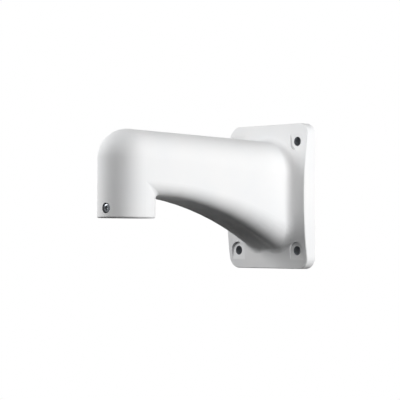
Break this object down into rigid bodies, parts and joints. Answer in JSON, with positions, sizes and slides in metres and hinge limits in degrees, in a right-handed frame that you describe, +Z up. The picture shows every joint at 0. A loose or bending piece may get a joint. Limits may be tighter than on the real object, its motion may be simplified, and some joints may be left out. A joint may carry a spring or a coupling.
{
  "type": "camera wall bracket",
  "caption": "Cast wall bracket for a dome camera: rectangular wall plate, hollow tapering arm and a threaded downward collar with a lock screw.",
  "frame": {"origin": "centre of the wall plate's back face", "axes": "+X right along the wall as seen from the front, +Y into the wall (the arm projects along -Y), +Z up"},
  "size_m": [0.12, 0.2523, 0.16],
  "materials": {
    "painted_casting": "satin white powder coat",
    "screw_steel": "plain steel"
  },
  "bodies": {
    "root": {"bracket_body": "painted_casting", "locking_screw": "screw_steel"}
  },
  "joints": []
}
